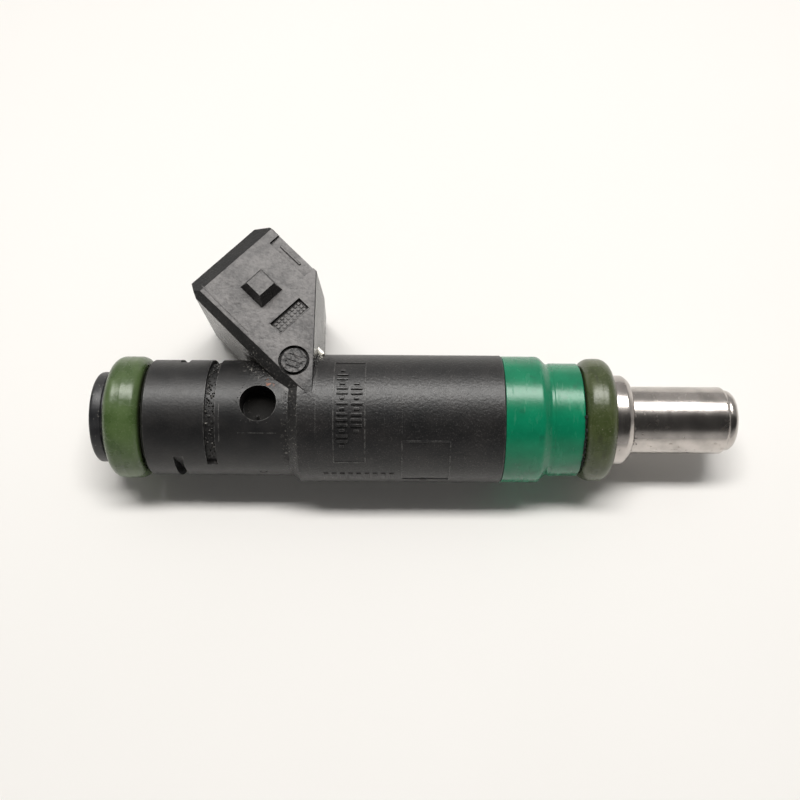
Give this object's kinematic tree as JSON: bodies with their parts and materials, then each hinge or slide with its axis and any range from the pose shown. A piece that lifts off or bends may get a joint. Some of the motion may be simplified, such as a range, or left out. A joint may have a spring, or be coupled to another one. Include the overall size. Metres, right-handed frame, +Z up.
{
  "type": "fuel injector",
  "caption": "Solenoid port fuel injector with an angled electrical socket, seals at the rail and manifold ends and a spring-closed ball valve in a steel nozzle.",
  "frame": {"origin": "on the injector's axis, at the centre plane of the lower (manifold) seal", "axes": "+X along the axis towards the nozzle, +Y towards the side the electrical socket leans out of, +Z up, normal to the plane of symmetry"},
  "size_m": [0.0757, 0.0296, 0.0186],
  "materials": {
    "housing_nylon": "charcoal glass-filled nylon, moulded satin with fine grain, dusty and worn at the edges",
    "sleeve_nylon": "emerald green nylon, semi-gloss with light scuffs",
    "retainer_nylon": "black nylon, satin",
    "upper_seal_rubber": "sage green fluoroelastomer, satin",
    "lower_seal_rubber": "olive drab fluoroelastomer, satin and soiled",
    "turned_steel": "stainless steel, finely turned and polished",
    "drawn_steel": "stainless steel, drawn",
    "magnetic_steel": "soft magnetic stainless steel, turned",
    "hardened_steel": "hardened stainless steel, ground and polished",
    "spring_steel": "stainless spring wire",
    "bobbin_nylon": "natural glass-filled nylon",
    "copper_wire": "enamelled copper wire, wound in layers",
    "terminal_brass": "tin-plated brass blade",
    "filter_brass": "brass ring, drawn",
    "filter_mesh": "woven nylon screen",
    "seat_rubber": "black fluoroelastomer"
  },
  "bodies": {
    "injector_body": {"overmold_housing": "housing_nylon", "color_sleeve": "sleeve_nylon", "upper_seal_retainer": "retainer_nylon", "lower_seal_retainer": "turned_steel", "upper_o_ring": "upper_seal_rubber", "lower_o_ring": "lower_seal_rubber", "inlet_tube": "drawn_steel", "pole_piece": "magnetic_steel", "non_magnetic_shell": "drawn_steel", "valve_body": "turned_steel", "coil_housing": "magnetic_steel", "flux_washer": "magnetic_steel", "coil_bobbin": "bobbin_nylon", "coil_winding": "copper_wire", "terminal_lower": "terminal_brass", "terminal_upper": "terminal_brass", "return_spring": "spring_steel", "adjusting_tube": "drawn_steel", "needle_guide": "turned_steel", "valve_seat": "hardened_steel", "seat_o_ring": "seat_rubber", "orifice_disc": "turned_steel", "backup_washer": "turned_steel", "filter_ring": "filter_brass", "filter_frame": "bobbin_nylon", "filter_screen": "filter_mesh"},
    "valve_needle": {"armature": "magnetic_steel", "needle_tube": "drawn_steel", "valve_ball": "hardened_steel"}
  },
  "joints": [
    {"name": "needle_lift", "type": "slide", "parent": "injector_body", "child": "valve_needle", "axis": [-1, 0, 0], "range_m": [0, 0.00015], "stiffness_N_per_m": 1500, "springref_m": -0.002, "deforming": ["return_spring"]}
  ]
}
